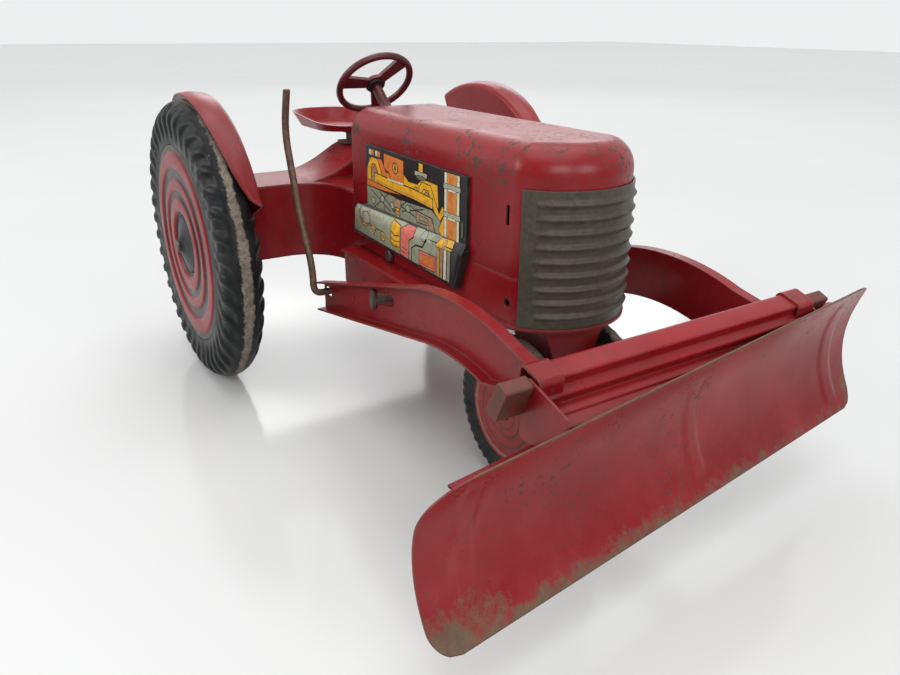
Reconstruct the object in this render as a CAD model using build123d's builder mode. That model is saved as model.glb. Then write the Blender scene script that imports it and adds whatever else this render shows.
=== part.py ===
"""Pressed-steel toy farm tractor with a dozer blade lifted by a bent-wire lever.

Millimetres. X points forward, Y to the driver's left, Z up. The floor is Z = 0 and the
origin is below the middle of the whole toy. Inside the sketches, lengths along the
tractor count from the rear axle, which stands at REAR_X.
"""
import os
from math import cos, radians, sin

from build123d import *

os.makedirs("parts", exist_ok=True)

# ---- driving dimensions -------------------------------------------------------------
REAR_X = -92.17         # rear axle, from the middle of the toy's length
SHEET = 0.8             # pressed tinplate
SLIP = 0.05             # radial clearance of a running fit

WHEELBASE = 171.3
REAR_TYRE_R = 69.4
REAR_DISC_R = 48.8
REAR_SECTION_R = 9.9    # half width of the rear tyre
REAR_TRACK = 88.7       # tyre middle plane, from the centre line
REAR_AXLE_R = 2.0
HUB_TIP = 100.3
FRONT_TYRE_R = 31.9
FRONT_DISC_R = 20.3
FRONT_SECTION_R = 4.8
FRONT_TRACK = 19.4
FRONT_AXLE_R = 1.6

BODY_HALF = 27.0        # half width of hood and chassis
BODY_REAR = 50.0        # back of the hood
NOSE_R = 30.5           # plan radius of the nose
NOSE_X = 161.5          # centre of that radius
CHASSIS_Z = 72.0
SEAM_Z = 90.2           # joint between chassis and hood
HOOD_TOP = 136.8
GRILLE_TOP = 122.0
RIBS = 9
RIB_PITCH = 5.1

HOUSING_BOTTOM = 61.0
HOUSING_TOP = 98.0
HOUSING_HUMP = 112.0
HOUSING_HALF_DEPTH = 18.0
HOUSING_FRONT = 49.9    # meets the back of the hood
HOUSING_END = 77.0

PEDESTAL_FRONT = 182.8
PEDESTAL_DEPTH = 22.5
PEDESTAL_FOOT = 9.5
PULL_HOLE_Z = 54.2
PULL_HOLE_R = 1.25

FENDER_R = 72.4
FENDER_START = 25.0     # degrees above the horizontal, in front
FENDER_END = 118.0
FENDER_PLATE_Y = 77.1
FENDER_OUT_Y = 91.0

SEAT_Z = 119.0
STEERING = (23.0, 145.0)
STEERING_TILT = 46.0    # wheel plane from the horizontal, degrees
STEERING_R = 20.4
STEERING_RIM = 1.7
STEERING_PIN_R = 1.5

ARM_Y = 50.0            # middle of the lift arm's web
ARM_FLANGE = 4.2
PIVOT = (115.0, 67.6)   # pins that the arms rock on
PIVOT_R = 2.5
HANGER_Y = 37.0
LEVER_PIVOT = (84.0, 61.0)
LEVER_CRANK = (67.0, 56.5)
LEVER_Y = 57.5
WIRE_R = 1.6

CROSSBAR_HALF = 63.0
CROSSBAR_BOSS = 73.5
BLADE_X = 245.5
BLADE_Y = 0.36
BLADE_BOTTOM = 24.5
BLADE_HEIGHT = 54.0
BLADE_CURVE_R = 44.0
BLADE_HALF = 108.0
STIFFENER_Z = 14.5      # above the blade's middle
BLADE_YAW = 4.7         # the blade sits racked on its arms
BLADE_ROLL = 2.8

SIDES = (("right", -1), ("left", 1))


# ---- planes -------------------------------------------------------------------------
def level(z):
    """Horizontal plane at height z, counted from the rear axle."""
    return Plane(origin=(REAR_X, 0, z))


def side_plane(side, y):
    """Upright plane along the tractor: local x forward, local y up."""
    return Plane(origin=(REAR_X, side * y, 0), x_dir=(1, 0, 0), z_dir=(0, -1, 0))


def cross_plane(x):
    """Upright plane across the tractor: local x to the left, local y up."""
    return Plane(origin=(REAR_X + x, 0, 0), x_dir=(0, 1, 0), z_dir=(1, 0, 0))


def hub_plane(x, z):
    """Plane across a wheel: local x along the axle, local y the radius."""
    return Plane(origin=(REAR_X + x, 0, z), x_dir=(0, 1, 0), z_dir=(1, 0, 0))


def hub_axis(x, z):
    return Axis((REAR_X + x, 0, z), (0, 1, 0))


def steering_plane():
    """Plane of the steering wheel, facing the driver."""
    tilt = radians(STEERING_TILT)
    hub = (REAR_X + STEERING[0], 0, STEERING[1])
    return Plane(origin=hub, x_dir=(0, 1, 0), z_dir=(-sin(tilt), 0, cos(tilt)))


def outer_face(builder, side):
    """The face furthest from the centre line on one side."""
    return builder.faces().sort_by(Axis.Y)[0 if side < 0 else -1]


def save(builder, name):
    builder.part.label = name
    export_step(builder.part, f"parts/{name}.step")


# ---- hood and chassis ---------------------------------------------------------------
def body_plan(inset=0.0, rear=BODY_REAR):
    """Plan of hood and chassis: straight sides and a round nose."""
    corner_x = NOSE_X + (NOSE_R**2 - BODY_HALF**2) ** 0.5
    with BuildSketch() as plan:
        with BuildLine():
            Polyline((corner_x, BODY_HALF), (rear, BODY_HALF), (rear, -BODY_HALF), (corner_x, -BODY_HALF))
            ThreePointArc((corner_x, -BODY_HALF), (NOSE_X + NOSE_R, 0), (corner_x, BODY_HALF))
        make_face()
        fillet(plan.vertices().group_by(Axis.X)[-1], 7)
        if inset:
            offset(amount=-inset)
    return plan.sketch


def hood_block(inset):
    floor = SEAM_Z - (1 if inset else 0)
    with BuildPart() as block:
        with BuildSketch(level(floor)):
            add(body_plan(inset))
        extrude(amount=HOOD_TOP - inset - floor)
        crown = block.edges().group_by(Axis.Z)[-1].sort_by(Axis.X)[1:]
        fillet(crown, 11 - inset)
    return block.part


with BuildPart() as hood:
    add(hood_block(0.0))
    add(hood_block(SHEET), mode=Mode.SUBTRACT)
    # slots for the grille's tabs, one in each side
    for _, side in SIDES:
        with BuildSketch(side_plane(side, BODY_HALF + 1)):
            with Locations((172.5, 112)):
                Rectangle(1.8, 7)
        extrude(amount=side * 3, mode=Mode.SUBTRACT)
    # hole for the steering column in the back wall
    with BuildSketch(steering_plane()):
        Circle(4.3)
    extrude(amount=-48, mode=Mode.SUBTRACT)
save(hood, "hood")


def housing_block(inset):
    """Rear axle housing: two arms with a hump between them, faired into the body."""
    floor = HOUSING_BOTTOM - (1 if inset else 0)
    with BuildPart() as block:
        with BuildSketch(level(floor)) as plan:
            Rectangle(2 * HOUSING_HALF_DEPTH, 2 * HOUSING_END)
            with Locations((HOUSING_FRONT / 2, 0)):
                Rectangle(HOUSING_FRONT, 2 * BODY_HALF)
            corners = [v for v in plan.vertices() if v.X < 20 and v.X > 0 and abs(v.Y) < BODY_HALF + 1]
            fillet(corners, 24)
            if inset:
                offset(amount=-inset)
        extrude(amount=HOUSING_TOP - inset - floor)
        with BuildSketch(cross_plane(inset - HOUSING_HALF_DEPTH)):
            foot = HOUSING_TOP - inset - 0.5
            with BuildLine():
                Spline((-42, foot), (0, HOUSING_HUMP - inset), (42, foot), tangents=((1, 0), (1, 0)))
                Line((42, foot), (-42, foot))
            make_face()
        extrude(amount=HOUSING_HALF_DEPTH + HOUSING_HALF_DEPTH - 2 * inset)
    return block.part


with BuildPart() as chassis:
    add(housing_block(0.0))
    with BuildSketch(level(CHASSIS_Z)):
        add(body_plan(rear=HOUSING_FRONT - 2))
    extrude(amount=SEAM_Z - CHASSIS_Z - 0.1)
    with BuildSketch(level(CHASSIS_Z + SHEET)):
        add(body_plan(SHEET, rear=HOUSING_FRONT - SHEET))
    extrude(amount=SEAM_Z - CHASSIS_Z, mode=Mode.SUBTRACT)
    add(housing_block(SHEET), mode=Mode.SUBTRACT)
    # lip under the grille
    with BuildSketch(level(CHASSIS_Z - 1.2)):
        add(body_plan(-1.4, rear=NOSE_X))
        add(body_plan(5, rear=NOSE_X - 20), mode=Mode.SUBTRACT)
    extrude(amount=1.2)
    # small hole beside the grille, and the bores for the rear axle
    for _, side in SIDES:
        with BuildSketch(side_plane(side, BODY_HALF + 1)):
            with Locations((174, 80)):
                Circle(1.5)
        extrude(amount=side * 3, mode=Mode.SUBTRACT)
    with BuildSketch(side_plane(-1, HOUSING_END + 1)):
        with Locations((0, REAR_TYRE_R)):
            Circle(REAR_AXLE_R + 0.1)
    extrude(amount=-2 * HOUSING_END - 2, mode=Mode.SUBTRACT)
save(chassis, "chassis")


# ---- grille and engine panels -------------------------------------------------------
nose_axis = Axis((REAR_X + NOSE_X, 0, 0), (0, 0, 1))
GRILLE_HEIGHT = GRILLE_TOP - CHASSIS_Z - 0.05
GRILLE_MID = GRILLE_TOP - GRILLE_HEIGHT / 2
GRILLE_SPAN = 112.0     # degrees of the nose that the grille covers

with BuildPart() as grille:
    back = NOSE_R + 0.15
    turn = radians(GRILLE_SPAN / 2)
    right_edge = Plane(origin=nose_axis.position, x_dir=(cos(turn), -sin(turn), 0),
                       z_dir=(-sin(turn), -cos(turn), 0))
    with BuildSketch(right_edge):
        with Locations((back + SHEET / 2, GRILLE_MID)):
            Rectangle(SHEET, GRILLE_HEIGHT)
        first = GRILLE_MID - (RIBS - 1) * RIB_PITCH / 2
        with Locations(*[(back + SHEET, first + i * RIB_PITCH) for i in range(RIBS)]):
            Ellipse(1.1, 1.5)
        with Locations((back - 5, GRILLE_MID)):
            Rectangle(10, GRILLE_HEIGHT, mode=Mode.SUBTRACT)
    revolve(axis=nose_axis, revolution_arc=GRILLE_SPAN)
save(grille, "grille")

for name, side in SIDES:
    with BuildPart() as panel:
        # upper plate, then the block that stands further out below it
        with BuildSketch(side_plane(side, BODY_HALF + 0.1)):
            with BuildLine():
                Polyline((67, 91), (67, 123), (149, 121.5), (149, 91), close=True)
            make_face()
        extrude(amount=-side * 1.4)
        with BuildSketch(side_plane(side, BODY_HALF + 0.1)):
            with BuildLine():
                Polyline((56, 80.5), (58, 92.5), (150, 93.5), (144, 76.8), (120, 78.4), close=True)
            make_face()
        extrude(amount=-side * 4)
        fillet(outer_face(panel, side).edges(), 1.2)
    save(panel, f"engine_panel_{name}")

    with BuildPart() as rivet:
        with BuildSketch(side_plane(side, BODY_HALF + 0.05)):
            with Locations((86, 75.2)):
                Circle(3.1)
        extrude(amount=-side * 1.8)
        fillet(outer_face(rivet, side).edges(), 1.2)
    save(rivet, f"body_rivet_{name}")


# ---- front pedestal and axles -------------------------------------------------------
def pedestal_block(inset, foot_z):
    half = PEDESTAL_FOOT - inset
    top = CHASSIS_Z - 1.3
    with BuildPart() as block:
        with BuildSketch(cross_plane(PEDESTAL_FRONT - inset)):
            with BuildLine():
                Polyline((-half, 48), (-half, foot_z), (half, foot_z), (half, 48))
                ThreePointArc((half, 48), (half + 2.2, 60), (half + 8, top))
                Line((half + 8, top), (-half - 8, top))
                ThreePointArc((-half - 8, top), (-half - 2.2, 60), (-half, 48))
            make_face()
        extrude(amount=-PEDESTAL_DEPTH)
    return block.part


with BuildPart() as front_pedestal:
    add(pedestal_block(0.0, FRONT_TYRE_R - 6))
    add(pedestal_block(1.0, FRONT_TYRE_R - 8), mode=Mode.SUBTRACT)
    with BuildSketch(side_plane(-1, PEDESTAL_FOOT + 1)):
        with Locations((WHEELBASE, FRONT_TYRE_R)):
            Circle(FRONT_AXLE_R + 0.1)
    extrude(amount=-2 * PEDESTAL_FOOT - 2, mode=Mode.SUBTRACT)
    with BuildSketch(cross_plane(PEDESTAL_FRONT + 1)):
        with Locations((0, PULL_HOLE_Z)):
            Circle(PULL_HOLE_R)
    extrude(amount=-3, mode=Mode.SUBTRACT)
save(front_pedestal, "front_pedestal")


def headed_rod(x, z, radius, half_length, head_r, head_t):
    """Axle with a peened head at each end."""
    with BuildPart() as rod:
        with BuildSketch(side_plane(-1, half_length)):
            with Locations((x, z)):
                Circle(radius)
        extrude(amount=-2 * half_length)
        for _, side in SIDES:
            with BuildSketch(side_plane(side, half_length)):
                with Locations((x, z)):
                    Circle(head_r)
            extrude(amount=-side * head_t)
        for _, side in SIDES:
            fillet(outer_face(rod, side).edges(), head_t * 0.6)
    return rod


save(headed_rod(0, REAR_TYRE_R, REAR_AXLE_R, HUB_TIP + 0.1, 2.8, 1.2), "rear_axle")
save(headed_rod(WHEELBASE, FRONT_TYRE_R, FRONT_AXLE_R, 23.8, 2.4, 1.0), "front_axle")

with BuildPart() as front_bushes:
    for _, side in SIDES:
        with BuildSketch(side_plane(side, PEDESTAL_FOOT + 0.1)):
            with Locations((WHEELBASE, FRONT_TYRE_R)):
                Circle(2.9)
                Circle(FRONT_AXLE_R + 0.1, mode=Mode.SUBTRACT)
        extrude(amount=-side * 4.6)
save(front_bushes, "front_bushes")


# ---- wheels -------------------------------------------------------------------------
def half_tyre(x, track, crown_r, section_r, rim_r, side, way):
    """One pressed half of a hollow tyre, from the crown in to the rim."""
    mid = side * track
    low = crown_r - section_r
    lean = 0.14 * section_r
    skin, lining = section_r, section_r - SHEET
    diagonal = cos(radians(45))
    with BuildPart() as half:
        with BuildSketch(hub_plane(x, crown_r)):
            with BuildLine():
                ThreePointArc((mid, low + skin), (mid + way * skin * diagonal, low + skin * diagonal),
                              (mid + way * skin, low))
                Polyline((mid + way * skin, low), (mid + way * (skin - lean), rim_r),
                         (mid + way * (lining - lean), rim_r), (mid + way * lining, low))
                ThreePointArc((mid + way * lining, low), (mid + way * lining * diagonal, low + lining * diagonal),
                              (mid, low + lining))
                Line((mid, low + lining), (mid, low + skin))
            make_face()
        revolve(axis=hub_axis(x, crown_r))
    return half


def ring(x, z, y_from, y_to, r_outer, r_bore):
    with BuildPart() as disc:
        with BuildSketch(hub_plane(x, z)):
            with BuildLine():
                Polyline((y_from, r_bore), (y_to, r_bore), (y_to, r_outer), (y_from, r_outer), close=True)
            make_face()
        revolve(axis=hub_axis(x, z))
    return disc


def wheel(prefix, name, side, x, track, tyre_r, section_r, disc_r, axle_r):
    """Two tyre halves, the disc that shows and the plate behind it."""
    reach = section_r - 0.14 * section_r
    face, back = track + reach, track - reach
    tyre = (x, track, tyre_r, section_r, disc_r + 0.1, side)
    save(half_tyre(*tyre, side), f"{prefix}_tyre_outer_{name}")
    save(half_tyre(*tyre, -side), f"{prefix}_tyre_inner_{name}")
    bore = axle_r + SLIP
    save(ring(x, tyre_r, side * (face - SHEET), side * face, disc_r, bore), f"{prefix}_disc_{name}")
    save(ring(x, tyre_r, side * back, side * (back + SHEET), disc_r, bore), f"{prefix}_backplate_{name}")
    return face


for name, side in SIDES:
    face = wheel("rear", name, side, 0, REAR_TRACK, REAR_TYRE_R, REAR_SECTION_R, REAR_DISC_R, REAR_AXLE_R)
    with BuildPart() as hub_cone:
        with BuildSketch(hub_plane(0, REAR_TYRE_R)):
            bore = REAR_AXLE_R + SLIP
            with BuildLine():
                Polyline((side * (face + 0.05), bore), (side * HUB_TIP, bore), (side * HUB_TIP, 3.4),
                         (side * (face + 0.9), 13.2), (side * (face + 0.05), 13.6), close=True)
            make_face()
        revolve(axis=hub_axis(0, REAR_TYRE_R))
    save(hub_cone, f"rear_hub_{name}")
    wheel("front", name, side, WHEELBASE, FRONT_TRACK, FRONT_TYRE_R, FRONT_SECTION_R, FRONT_DISC_R,
          FRONT_AXLE_R)


# ---- fenders ------------------------------------------------------------------------
for name, side in SIDES:
    with BuildPart() as fender:
        # web beside the tyre and crown over it, in one section, turned from front to back
        start = radians(FENDER_START)
        with BuildSketch(Plane(origin=(REAR_X, 0, REAR_TYRE_R), x_dir=(0, 1, 0),
                               z_dir=(sin(start), 0, -cos(start)))):
            web, out = side * FENDER_PLATE_Y, side * FENDER_OUT_Y
            with BuildLine():
                Polyline((web, 14), (web, FENDER_R), (out, FENDER_R), (out, FENDER_R - SHEET),
                         (web + side * SHEET, FENDER_R - SHEET), (web + side * SHEET, 14), close=True)
            make_face()
        revolve(axis=hub_axis(0, REAR_TYRE_R), revolution_arc=FENDER_START - FENDER_END)
        # seen from above, the crown narrows to a round tip at the front
        with BuildSketch(level(REAR_TYRE_R)):
            with Locations((3, side * (FENDER_OUT_Y - 40))):
                RectangleRounded(130, 80, 13)
            with Locations((-60, side * (FENDER_OUT_Y - 40))):
                Rectangle(60, 80)
        extrude(amount=80, both=True, mode=Mode.INTERSECT)
        # foot round the axle
        with BuildSketch(side_plane(side, FENDER_PLATE_Y)):
            with Locations((0, REAR_TYRE_R)):
                Circle(15)
        extrude(amount=-side * SHEET)
        with BuildSketch(side_plane(side, FENDER_PLATE_Y - 1)):
            with Locations((0, REAR_TYRE_R)):
                Circle(REAR_AXLE_R + 0.6)
        extrude(amount=-side * 3, mode=Mode.SUBTRACT)
    save(fender, f"fender_{name}")


# ---- seat ---------------------------------------------------------------------------
def seat_block(inset):
    with BuildPart() as block:
        with BuildSketch(level(SEAT_Z + inset)):
            with Locations((-23, 0)):
                RectangleRounded(48 - 2 * inset, 34 - 2 * inset, 14)
        extrude(amount=9, taper=-32)
    return block.part


with BuildPart() as seat:
    add(seat_block(0.0))
    add(seat_block(SHEET), mode=Mode.SUBTRACT)
    # the rim falls towards the front
    with BuildSketch(side_plane(-1, 40)):
        with BuildLine():
            Polyline((-70, 127), (-38, 126.5), (12, 121), (12, 140), (-70, 140), close=True)
        make_face()
    extrude(amount=-80, mode=Mode.SUBTRACT)
save(seat, "seat")

with BuildPart() as seat_bracket:
    with BuildSketch(side_plane(-1, 5)):
        with BuildLine():
            low, high = HOUSING_HUMP + 0.05, SEAT_Z - 0.05
            Polyline((-14, low), (-14, low + 1), (-3, low + 1), (-3, high - 1), (-14, high - 1),
                     (-14, high), (-2, high), (-2, low), close=True)
        make_face()
    extrude(amount=-10)
save(seat_bracket, "seat_bracket")


# ---- steering -----------------------------------------------------------------------
wheel_plane = steering_plane()
COLUMN_TOP = -2.4
with BuildPart() as steering_column:
    with BuildSketch(wheel_plane.offset(COLUMN_TOP)):
        Circle(2.4)
    extrude(amount=-40, taper=-2.3)
    with BuildSketch(wheel_plane.offset(COLUMN_TOP)):
        Circle(STEERING_PIN_R)
    extrude(amount=3.6)
    with BuildSketch(wheel_plane.offset(COLUMN_TOP + 3.6)):
        Circle(2.6)
    extrude(amount=0.9)
save(steering_column, "steering_column")

with BuildPart() as steering_wheel:
    with BuildSketch(Plane(wheel_plane.origin, x_dir=wheel_plane.x_dir, z_dir=wheel_plane.y_dir)):
        with Locations((STEERING_R - STEERING_RIM, 0)):
            Circle(STEERING_RIM)
    revolve(axis=Axis(wheel_plane.origin, wheel_plane.z_dir))
    with BuildSketch(wheel_plane.offset(-0.9)):
        Circle(5.2)
        with PolarLocations(0, 3, start_angle=65):
            with Locations((STEERING_R / 2, 0)):
                Trapezoid(7.5, STEERING_R - 3, 86, rotation=90)
        Circle(STEERING_PIN_R + SLIP, mode=Mode.SUBTRACT)
    extrude(amount=1.8)
save(steering_wheel, "steering_wheel")

with BuildPart() as steering_collar:
    with BuildSketch(wheel_plane.offset(COLUMN_TOP + 0.1)):
        Circle(4.4)
        Circle(STEERING_PIN_R + SLIP, mode=Mode.SUBTRACT)
    extrude(amount=1.3)
save(steering_collar, "steering_collar")


# ---- lift linkage -------------------------------------------------------------------
def arm_profile(inset):
    """Side view of a lift arm: a long bar that arches over the front wheel."""
    over = 3 if inset else 0
    rear_top = (62.8 - over, 60.5 - 0.27 * over - inset)
    rear_low = (62.8 - over, 46.5 - 0.19 * over + inset)
    tip_top = (226.6 + over, 79.4 - 0.22 * over - inset)
    tip_low = (226.6 + over, 71.5 + 0.25 * over + inset)
    with BuildSketch() as profile:
        with BuildLine():
            Line(rear_top, (146, 82.9 - inset))
            ThreePointArc((146, 82.9 - inset), (181, 88 - inset), (212, 82.6 - inset))
            Polyline((212, 82.6 - inset), tip_top, tip_low, (198, 64.4 + inset))
            ThreePointArc((198, 64.4 + inset), (179, 67.0 + inset), (158, 65.0 + inset))
            Polyline((158, 65.0 + inset), rear_low, rear_top)
        make_face()
    return profile.sketch


for name, side in SIDES:
    with BuildPart() as hanger:
        # flange under the chassis, and the web turned down from it
        with BuildSketch(level(CHASSIS_Z - SHEET - 0.05)):
            with Locations(((54 + 142) / 2, side * (HANGER_Y + 16) / 2)):
                Rectangle(88, HANGER_Y - 16)
        extrude(amount=SHEET)
        with BuildSketch(side_plane(side, HANGER_Y - SHEET)):
            with BuildLine():
                top = CHASSIS_Z - 0.1
                Polyline((58, 53), (58, top), (142, top), (126, 61), (100, 54), close=True)
            make_face()
        extrude(amount=-side * SHEET)
        with BuildSketch(side_plane(side, HANGER_Y - 3)):
            with Locations(LEVER_PIVOT):
                Circle(WIRE_R + SLIP)
            with Locations(PIVOT):
                Circle(PIVOT_R)
        extrude(amount=-side * 6, mode=Mode.SUBTRACT)
    save(hanger, f"hanger_{name}")

    with BuildPart() as pin:
        with BuildSketch(side_plane(side, HANGER_Y - SHEET - 0.6)):
            with Locations(PIVOT):
                Circle(PIVOT_R)
        extrude(amount=-side * (ARM_Y + 1.4 - HANGER_Y + SHEET))
        with BuildSketch(side_plane(side, ARM_Y + 0.8)):
            with Locations(PIVOT):
                Circle(4.3)
        extrude(amount=-side * 1.5)
        fillet(outer_face(pin, side).edges(), 0.9)
    save(pin, f"arm_pin_{name}")

    with BuildPart() as arm:
        with BuildSketch(side_plane(side, ARM_Y - SHEET / 2)):
            add(arm_profile(0))
        extrude(amount=-side * (SHEET + ARM_FLANGE))
        with BuildSketch(side_plane(side, ARM_Y + SHEET / 2)):
            add(arm_profile(SHEET))
        extrude(amount=-side * (SHEET + ARM_FLANGE), mode=Mode.SUBTRACT)
        # slot that the pin sits in, and the hole for the wire's crank
        with BuildSketch(side_plane(side, ARM_Y - 1)):
            with Locations(Location((PIVOT[0] + 7, PIVOT[1] + 1.6), 13)):
                SlotCenterToCenter(14.35, 2 * (PIVOT_R + SLIP))
            with Locations((LEVER_CRANK[0] + 0.3, LEVER_CRANK[1])):
                SlotCenterToCenter(2.6, 2 * (WIRE_R + 0.7))
        extrude(amount=-side * 2, mode=Mode.SUBTRACT)
    save(arm, f"lift_arm_{name}")

with BuildPart() as lift_lever:
    with BuildLine():
        handle = [(50, -LEVER_Y, 146), (44.6, -LEVER_Y, 128.5), (56, -LEVER_Y, 90), (66.5, -LEVER_Y, 70)]
        bends = [(LEVER_CRANK, -LEVER_Y), (LEVER_CRANK, -46.5), (LEVER_PIVOT, -46.5),
                 (LEVER_PIVOT, 46.5), (LEVER_CRANK, 46.5), (LEVER_CRANK, 54)]
        points = handle + [(x, y, z) for (x, z), y in bends]
        points = [Vector(REAR_X + x, y, z) for x, y, z in points]
        FilletPolyline(*points, radius=3.2)
    with BuildSketch(Plane(origin=points[0], z_dir=points[1] - points[0])):
        Circle(WIRE_R)
    sweep()
save(lift_lever, "lift_lever")


# ---- blade frame --------------------------------------------------------------------
blade_plane = Plane(origin=(REAR_X + BLADE_X, BLADE_Y, BLADE_BOTTOM + BLADE_HEIGHT / 2))
blade_plane = blade_plane.rotated((0, 0, BLADE_YAW)).rotated((BLADE_ROLL, 0, 0))
half_chord = BLADE_HEIGHT / 2
sag = BLADE_CURVE_R - (BLADE_CURVE_R**2 - half_chord**2) ** 0.5


def blade_section_plane(y):
    """Upright plane across the blade: local x forward, local y up."""
    return Plane(origin=blade_plane.from_local_coords((0, y, 0)),
                 x_dir=blade_plane.x_dir, z_dir=-blade_plane.y_dir)


def ahead_of_blade(gap=0.02):
    """The blade and the space in front of it, which pieces behind it stay out of."""
    depth = SHEET + gap
    with BuildPart() as block:
        with BuildSketch(blade_section_plane(-BLADE_HALF - 20)):
            with BuildLine():
                ThreePointArc((-depth, -half_chord), (-sag - depth, 0), (-depth, half_chord))
                Polyline((-depth, half_chord), (-depth, half_chord + 9), (40, half_chord + 9),
                         (40, -half_chord), (-depth, -half_chord))
            make_face()
        extrude(amount=-2 * BLADE_HALF - 40)
    return block.part


# ---- crossbar -----------------------------------------------------------------------
def crossbar_section(grow=0.0):
    """Side view of the bar across the front of the arms, made larger or smaller."""
    with BuildSketch() as section:
        with BuildLine():
            Polyline((227.5, 74.5), (228.2, 85.4), (236.2, 82.8), (235.2, 72.8), close=True)
        make_face()
        fillet(section.vertices(), 1.2)
        if grow:
            offset(amount=grow)
    return section.sketch


with BuildPart() as crossbar:
    with BuildSketch(side_plane(-1, CROSSBAR_HALF)):
        add(crossbar_section())
        add(crossbar_section(-SHEET), mode=Mode.SUBTRACT)
    extrude(amount=-2 * CROSSBAR_HALF)
    # two pressed grooves along the front, between the clips
    with BuildSketch(side_plane(-1, CROSSBAR_HALF - 10)):
        with Locations((236.6, 79.8), (236.2, 75.6)):
            Circle(1.3)
    extrude(amount=-2 * CROSSBAR_HALF + 20, mode=Mode.SUBTRACT)
    add(ahead_of_blade(), mode=Mode.SUBTRACT)
save(crossbar, "crossbar")

for name, side in SIDES:
    with BuildPart() as boss:
        with BuildSketch(side_plane(side, CROSSBAR_HALF + SHEET + 0.15)) as section:
            with BuildLine():
                Polyline((226.5, 73.5), (231.4, 84.2), (236.0, 82.2), (231.2, 71.4), close=True)
            make_face()
            fillet(section.vertices(), 0.8)
        extrude(amount=-side * (CROSSBAR_BOSS - CROSSBAR_HALF - SHEET - 0.15))
        add(ahead_of_blade(), mode=Mode.SUBTRACT)
    save(boss, f"crossbar_boss_{name}")

    with BuildPart() as clip:
        with BuildSketch(side_plane(side, CROSSBAR_HALF - 9)):
            add(crossbar_section(0.9))
            add(crossbar_section(0.05), mode=Mode.SUBTRACT)
        extrude(amount=-side * 8.8)
        add(ahead_of_blade(), mode=Mode.SUBTRACT)
    save(clip, f"crossbar_clip_{name}")


# ---- blade --------------------------------------------------------------------------
with BuildPart() as blade:
    with BuildSketch(blade_section_plane(-BLADE_HALF)):
        with BuildLine():
            ThreePointArc((0, -half_chord), (-sag, 0), (0, half_chord))
            Line((0, half_chord), (-SHEET, half_chord))
            ThreePointArc((-SHEET, half_chord), (-sag - SHEET, 0), (-SHEET, -half_chord))
            Line((-SHEET, -half_chord), (0, -half_chord))
        make_face()
    extrude(amount=-2 * BLADE_HALF)
    # round corners, larger at the top
    with BuildSketch(Plane(origin=blade_plane.from_local_coords((20, 0, 0)),
                           x_dir=blade_plane.y_dir, z_dir=blade_plane.x_dir)) as front:
        Rectangle(2 * BLADE_HALF, BLADE_HEIGHT + 0.02)
        fillet(front.vertices().group_by(Axis.Y)[-1], 15)
        fillet(front.vertices().group_by(Axis.Y)[0], 8)
    extrude(amount=-60, mode=Mode.INTERSECT)
save(blade, "blade")

stiffener_plane = Plane(origin=blade_plane.from_local_coords((0, 0, STIFFENER_Z)),
                        x_dir=blade_plane.x_dir, z_dir=blade_plane.z_dir)
with BuildPart() as blade_stiffener:
    with BuildSketch(stiffener_plane) as strip:
        with Locations((-11, 0)):
            Rectangle(11, 2 * BLADE_HALF - 8)
        fillet(strip.vertices().group_by(Axis.X)[0], 8)
    extrude(amount=SHEET)
    add(ahead_of_blade(), mode=Mode.SUBTRACT)
save(blade_stiffener, "blade_stiffener")

for name, side in SIDES:
    edge = BLADE_X - side * (CROSSBAR_HALF + 1) * sin(radians(BLADE_YAW))
    with BuildPart() as gusset:
        with BuildSketch(side_plane(side, CROSSBAR_HALF + 0.1)):
            with BuildLine():
                Polyline((230, 66), (233, 83.6), (edge, 78), (edge, 56), (236, 54), close=True)
            make_face()
        extrude(amount=-side * SHEET)
        add(ahead_of_blade(), mode=Mode.SUBTRACT)
        # stopped at the stiffener
        with BuildSketch(stiffener_plane.offset(-0.05)):
            Rectangle(80, 2 * BLADE_HALF)
        extrude(amount=SHEET + 0.1, mode=Mode.SUBTRACT)
    gusset.part = gusset.part.solids().sort_by(SortBy.VOLUME)[-1]
    save(gusset, f"blade_gusset_{name}")
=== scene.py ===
from math import copysign, cos, pi, radians, sin, sqrt

import bmesh
import bpy
from mathutils import Matrix, Vector, noise


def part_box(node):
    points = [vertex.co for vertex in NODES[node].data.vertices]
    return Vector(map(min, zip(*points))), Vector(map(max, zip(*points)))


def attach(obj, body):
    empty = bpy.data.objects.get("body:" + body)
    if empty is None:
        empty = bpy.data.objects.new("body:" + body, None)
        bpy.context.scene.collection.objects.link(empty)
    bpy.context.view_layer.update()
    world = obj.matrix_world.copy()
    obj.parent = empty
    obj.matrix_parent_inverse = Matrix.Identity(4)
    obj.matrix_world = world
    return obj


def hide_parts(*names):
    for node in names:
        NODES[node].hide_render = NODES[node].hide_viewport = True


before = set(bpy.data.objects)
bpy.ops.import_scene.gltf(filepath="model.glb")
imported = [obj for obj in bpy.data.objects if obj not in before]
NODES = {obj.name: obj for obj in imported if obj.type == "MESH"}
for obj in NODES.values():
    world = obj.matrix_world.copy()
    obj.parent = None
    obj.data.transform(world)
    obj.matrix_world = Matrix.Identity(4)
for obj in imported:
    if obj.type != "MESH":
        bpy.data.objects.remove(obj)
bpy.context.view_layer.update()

MM = 0.001
SIDES = (("right", -1), ("left", 1))


def middle(node):
    low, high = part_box(node)
    return [(a + b) / 2 for a, b in zip(low, high)]


REAR = middle("rear_axle")
FRONT = middle("front_axle")


def reach_of(node):
    """How far a node stands out from the tractor's middle plane, in millimetres."""
    low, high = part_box(node)
    return max(abs(low[1]), abs(high[1])) / MM


def at(x, y, z):
    """A point given in millimetres, x counted from the rear axle."""
    return Vector((REAR[0] + x * MM, y * MM, z * MM))


def smooth(t):
    t = min(1, max(0, t))
    return t * t * (3 - 2 * t)


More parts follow.
